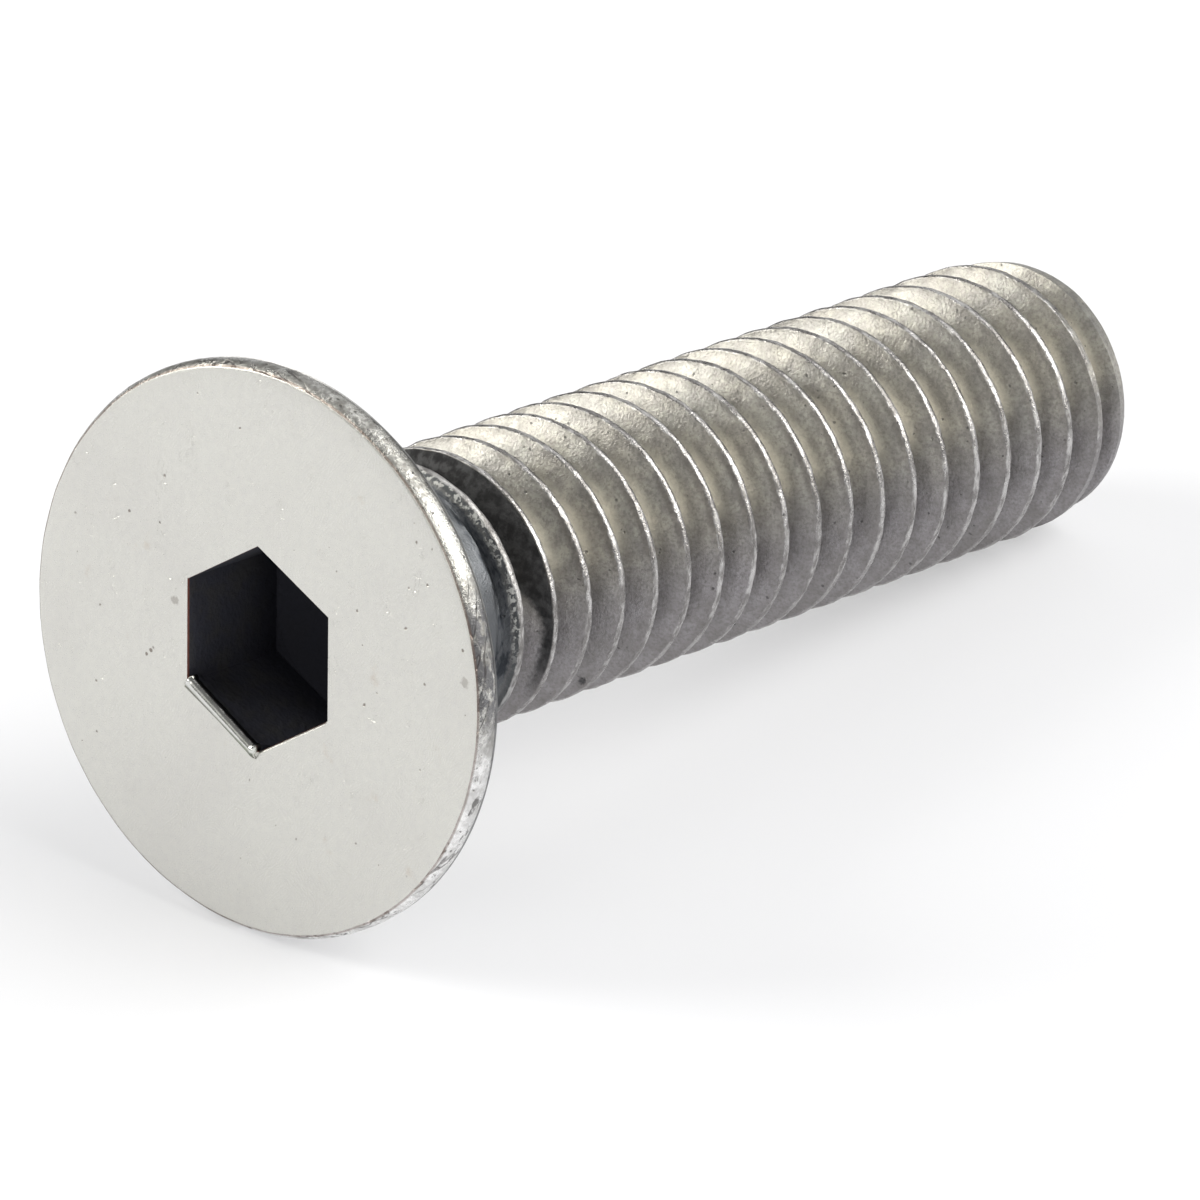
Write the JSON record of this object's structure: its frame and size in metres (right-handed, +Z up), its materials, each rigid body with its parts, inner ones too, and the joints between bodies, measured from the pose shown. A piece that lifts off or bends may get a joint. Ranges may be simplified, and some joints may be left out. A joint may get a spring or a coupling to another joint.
{
  "type": "countersunk socket screw",
  "caption": "Flat countersunk head screw with a hexagon socket, a 90 degree cone and a fully threaded shank, lying on its side.",
  "frame": {"origin": "on the ground below the middle of the lying screw's bounding box", "axes": "+X along the ground from the head towards the threaded end, +Z up; the screw's own axis dips 7.4 degrees from +X towards the ground"},
  "size_m": [0.0172, 0.008, 0.0079],
  "materials": {
    "stainless_steel": "bare stainless steel, fine satin on the head face and rough in the rolled thread"
  },
  "bodies": {
    "root": {"screw": "stainless_steel"}
  },
  "joints": []
}
